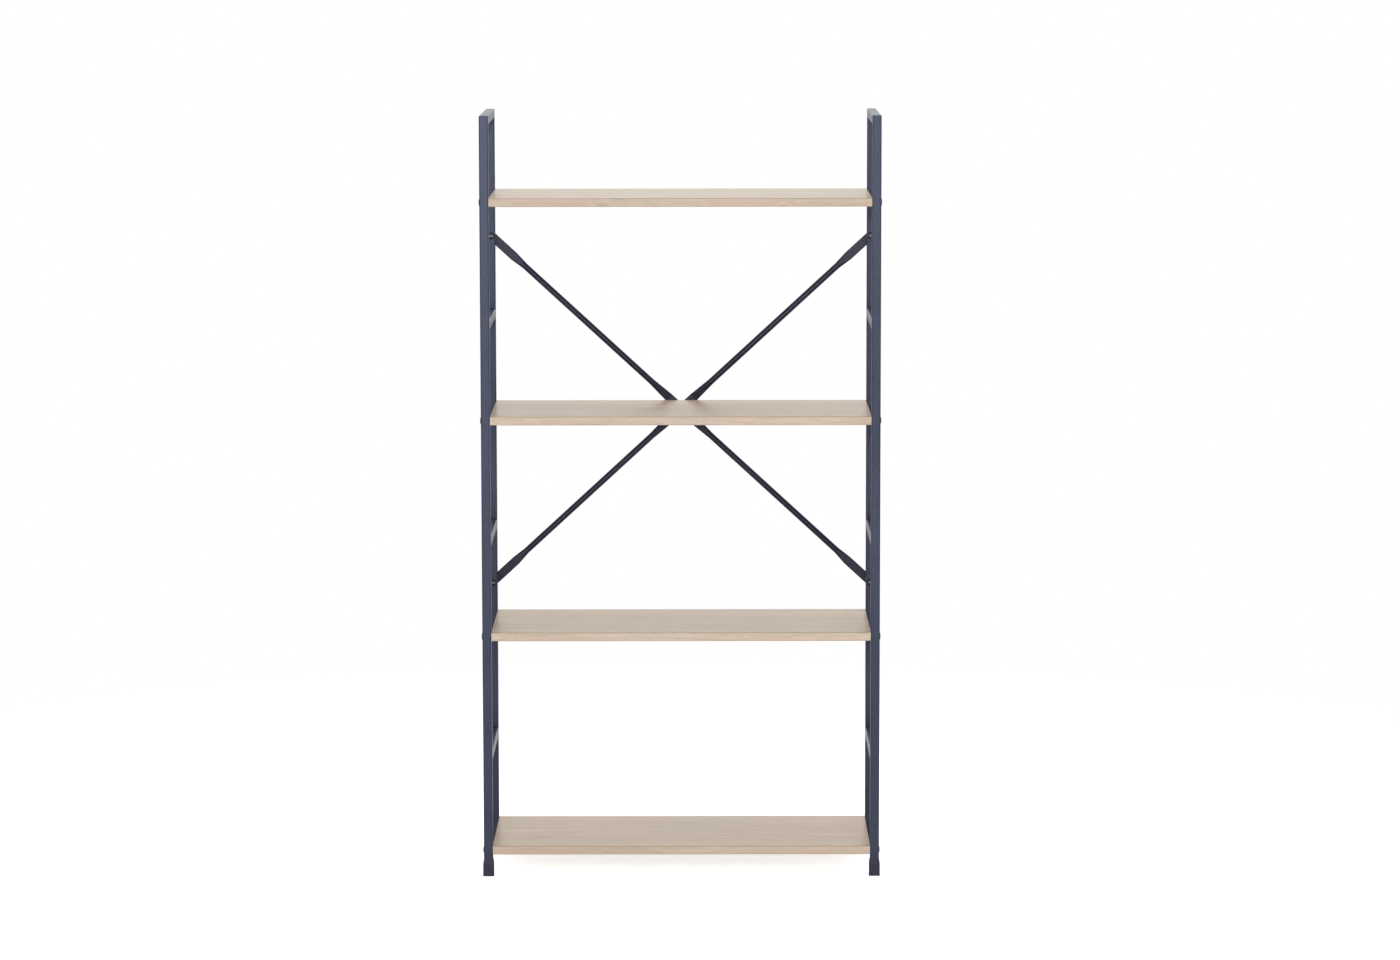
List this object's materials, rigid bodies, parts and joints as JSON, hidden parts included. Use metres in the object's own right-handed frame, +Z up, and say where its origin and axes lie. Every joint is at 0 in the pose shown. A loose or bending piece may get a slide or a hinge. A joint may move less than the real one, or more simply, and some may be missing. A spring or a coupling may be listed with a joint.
{
  "type": "shelving unit",
  "caption": "Open shelving unit: ladder frames of square steel tube carry wood-look boards, and crossed round tubes with pressed flat ends brace the back.",
  "frame": {"origin": "on the floor, in the middle of the footprint", "axes": "+X to the right as seen from the front, +Y from the front to the braced back, +Z up"},
  "size_m": [0.7034, 0.2828, 1.345],
  "materials": {
    "frame_paint": "satin anthracite powder coat",
    "brace_paint": "satin dark grey powder coat",
    "fastener_steel": "satin black",
    "foot_plastic": "matt dark grey plastic",
    "board_wood": "matt light oak melamine on particle board",
    "edge_band": "matt light oak edge band"
  },
  "bodies": {
    "root": {"post_left_front": "frame_paint", "foot_cap_left_front": "foot_plastic", "post_left_back": "frame_paint", "foot_cap_left_back": "foot_plastic", "top_rail_left": "frame_paint", "rung_left_1": "frame_paint", "rung_left_2": "frame_paint", "rung_left_3": "frame_paint", "post_right_front": "frame_paint", "foot_cap_right_front": "foot_plastic", "post_right_back": "frame_paint", "foot_cap_right_back": "foot_plastic", "top_rail_right": "frame_paint", "rung_right_1": "frame_paint", "rung_right_2": "frame_paint", "rung_right_3": "frame_paint", "board_1": "board_wood", "front_band_1": "edge_band", "back_band_1": "edge_band", "end_bands_1": "edge_band", "shelf_screws_1": "fastener_steel", "board_2": "board_wood", "front_band_2": "edge_band", "back_band_2": "edge_band", "end_bands_2": "edge_band", "shelf_screws_2": "fastener_steel", "board_3": "board_wood", "front_band_3": "edge_band", "back_band_3": "edge_band", "end_bands_3": "edge_band", "shelf_screws_3": "fastener_steel", "board_4": "board_wood", "front_band_4": "edge_band", "back_band_4": "edge_band", "end_bands_4": "edge_band", "shelf_screws_4": "fastener_steel", "brace_bar_falling": "brace_paint", "brace_bar_rising": "brace_paint", "brace_rivet": "fastener_steel", "brace_bolts": "fastener_steel", "brace_nuts": "fastener_steel"}
  },
  "joints": []
}
